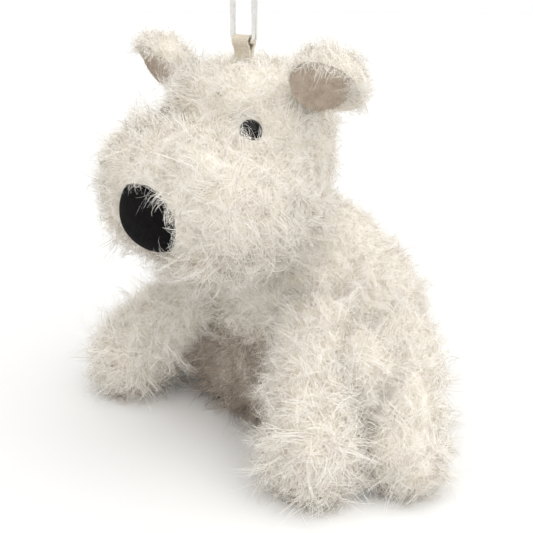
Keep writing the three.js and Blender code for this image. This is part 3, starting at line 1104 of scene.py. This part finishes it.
def make_eyes():
    shine = eye_plastic()
    moulding = washer_plastic()
    for word, side in SIDES.items():
        point, normal = on_surface(SKULL, EYE_DIRECTION)
        dome = []
        for angle in np.linspace(0, math.pi / 2 - 0.05, 12):
            dome.append((EYE_RADIUS * math.cos(angle), 0.6 + EYE_HEIGHT * math.sin(angle)))
        stem = [(EYE_STEM_RADIUS, -EYE_STEM_LENGTH), (EYE_STEM_RADIUS, 0.2)]
        rim = stem + [(EYE_RADIUS - 0.4, 0.2), (EYE_RADIUS, 0.4)]
        eye = lathe(f"eye_{word}_dome", rim + dome, mirrored(point, side), mirrored(normal, side))
        paint(eye, shine)
        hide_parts(f"eye_{word}")
        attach(eye, "head")
        paint(frame["nodes"][f"eye_washer_{word}"], moulding)


# ---- Tab and ring ----------------------------------------------------------------------------------


def ring_line(steps=12):
    """Middle of the ring's wire, a rounded rectangle that stands on its bar."""
    reach_x = RING_WIDTH / 2 - RING_WIRE - RING_CORNER
    reach_z = RING_HEIGHT / 2 - RING_WIRE - RING_CORNER
    bar = JOINTS["ring_swing"]
    middle = bar + (0, 0, RING_HEIGHT / 2 - RING_WIRE)
    line = []
    for quarter, (x, z) in enumerate(((1, 1), (-1, 1), (-1, -1), (1, -1))):
        for angle in np.linspace(quarter, quarter + 1, steps) * math.pi / 2:
            line.append(middle + (x * reach_x + RING_CORNER * math.cos(angle), 0,
                                  z * reach_z + RING_CORNER * math.sin(angle)))
    return np.array(line)


def tube(name, line, radius, around=20):
    """A closed loop of round wire that lies in an upright plane."""
    along = unit(np.roll(line, -1, 0) - np.roll(line, 1, 0))
    level = np.array((0, 1.0, 0))
    out = np.cross(along, level)
    turn = np.linspace(0, 2 * math.pi, around, endpoint=False)
    circle = np.cos(turn)[None, :, None] * out[:, None] + np.sin(turn)[None, :, None] * level
    points = (line[:, None] + circle * radius).reshape(-1, 3)
    faces = grid_faces(len(line), around)
    start = (len(line) - 1) * around
    for column in range(around):
        after = (column + 1) % around
        faces.append((start + column, start + after, after, column))
    return link_mesh(name, points, faces)


def make_ring():
    ring = tube("ring", ring_line(), RING_WIRE)
    paint(ring, polished_ring())
    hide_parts("hanging_ring")
    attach(ring, "ring")


def tab_line():
    """Middle of the tape: up from the crown, over the ring's bar, and down again."""
    bar = JOINTS["ring_swing"]
    foot = JOINTS["tab_bend"] + (0, 0, -1.4)
    bend = RING_WIRE + TAB_OFF_WIRE
    line = [foot + (0, -0.45, 0), foot + (0, -0.5, 2.4)]
    for angle in np.linspace(math.radians(-50), math.radians(230), 26):
        line.append(bar + (0, -bend * math.cos(angle), bend * math.sin(angle)))
    line += [foot + (0, 0.5, 2.4), foot + (0, 0.45, 0)]
    return np.array(line)


def resample(line, step):
    along = np.concatenate([[0], np.cumsum(np.linalg.norm(np.diff(line, axis=0), axis=1))])
    places = np.linspace(0, along[-1], int(along[-1] / step) + 1)
    return np.stack([np.interp(places, along, line[:, k]) for k in range(3)], 1), places


def make_tab(thickness=0.55, across=34, rib=0.42):
    """Woven tape with ribs across it, a warp that passes over and under, and thicker edges."""
    line, place = resample(tab_line(), 0.09)
    along = unit(np.gradient(line, axis=0))
    out = np.cross(along, np.array((1.0, 0, 0)))
    x = np.linspace(-TAB_WIDTH / 2, TAB_WIDTH / 2, across)
    warp = np.cos(x[None, :] * 2 * math.pi / 0.5)
    weft = np.cos(place[:, None] * 2 * math.pi / rib)
    edge = np.clip((np.abs(x) - TAB_WIDTH / 2 + 0.6) / 0.3, 0, 1)[None, :]
    relief = 0.06 * warp * weft + 0.05 * weft + 0.09 * edge
    half = thickness / 2 + relief
    flat = line[:, None] + x[None, :, None] * np.array((1.0, 0, 0))
    top = flat + out[:, None] * half[:, :, None]
    under = (flat - out[:, None] * half[:, :, None])[:, ::-1]
    loop = np.concatenate([top, under], 1)
    columns = loop.shape[1]
    tab = link_mesh("tab", loop.reshape(-1, 3), capped(len(line), columns))
    paint(tab, woven_tape())
    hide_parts("loop_tab")
    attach(tab, "tab")


# ---- Stage -----------------------------------------------------------------------------------------

FLOOR_SIZE = 40  # metres
BACKDROP = [(2800, 0.5), (2950, 150), (3000, 500), (3000, 1400)]  # (radius, height) of its sweep
BACKDROP_SIDES = 96
SKY_STRENGTH = 0.54
KEY_STRENGTH = 2.35
KEY_SOFTNESS = math.radians(80)
KEY_FROM = (math.radians(75), math.radians(64))  # azimuth and elevation


def make_floor():
    bpy.ops.mesh.primitive_plane_add(size=FLOOR_SIZE)
    floor = bpy.context.object
    floor.name = "floor"
    material = new_material("floor_paper", (0.84, 0.84, 0.84), 0.9)
    mottled(material, 3, [(0.3, (0.83, 0.83, 0.83)), (0.7, (0.85, 0.85, 0.85))])
    paint(floor, material)


def make_backdrop():
    """A round lit wall that rises from the floor, far behind the dog on every side."""
    turn = np.linspace(0, 2 * math.pi, BACKDROP_SIDES, endpoint=False)
    circle = np.stack([np.cos(turn), np.sin(turn), np.zeros(BACKDROP_SIDES)], 1)
    wall = np.concatenate([circle * radius + (0, 0, height) for radius, height in BACKDROP])
    backdrop = link_mesh("backdrop", wall, grid_faces(len(BACKDROP), BACKDROP_SIDES))
    white = (1.0, 1.0, 1.0, 1)
    paint(backdrop, new_material("backdrop_paper", (0.0, 0.0, 0.0), 1.0, Specular_IOR_Level=0.0,
                                 Emission_Color=white, Emission_Strength=1.0))


def make_lights():
    world = bpy.data.worlds.new("studio")
    world.use_nodes = True
    background = world.node_tree.nodes["Background"]
    background.inputs["Color"].default_value = (1.0, 1.0, 1.0, 1)
    background.inputs["Strength"].default_value = SKY_STRENGTH
    bpy.context.scene.world = world
    data = bpy.data.lights.new("key", "SUN")
    data.energy = KEY_STRENGTH
    data.angle = KEY_SOFTNESS
    data.color = (1.0, 0.99, 0.97)
    key = bpy.data.objects.new("key", data)
    back = toward(*KEY_FROM)
    key.location = LOOK_AT + back * 0.5
    key.rotation_euler = (-back).to_track_quat("-Z", "Y").to_euler()
    bpy.context.scene.collection.objects.link(key)
    bpy.context.scene.view_settings.view_transform = "Standard"


# ---- The dog and its stage -------------------------------------------------------------------------

SEEDS = {"head": 1000, "body": 2000, "tail": 3000, "front_leg": 4000, "hind_leg": 5000, "ear": 6000}
TAIL_THICKNESS = 1.2  # roots for each one elsewhere
EAR_THICKNESS = 1.4

skins = make_skins()
neck_core()
ears = make_ears()
coat("head", "head", [skins["head"]], head_plan, SEEDS["head"])
coat("body", "root", [skins["root"]], body_plan, SEEDS["body"])
coat("tail", "tail", [skins["tail"]], tail_plan, SEEDS["tail"], TAIL_THICKNESS)
for offset, (word, side) in enumerate(SIDES.items()):
    for kind, leg in (("front_leg", FRONT_LEG), ("hind_leg", HIND_LEG)):
        body = f"{kind}_{word}"
        seed = SEEDS[kind] + 100 * offset
        coat(body, body, [skins[body]], leg_plan(body, mirrored(leg["foot"], side), seed), seed)
    body = f"ear_{word}"
    seed = SEEDS["ear"] + 100 * offset
    shell, stem, lining = ears[body]
    coat(body, body, [shell, stem], ear_plan(side, seed), seed, EAR_THICKNESS)
    lining_nap(body, lining, side, seed + 50)
make_nose()
make_eyes()
make_ring()
make_tab()
make_floor()
make_backdrop()
make_lights()
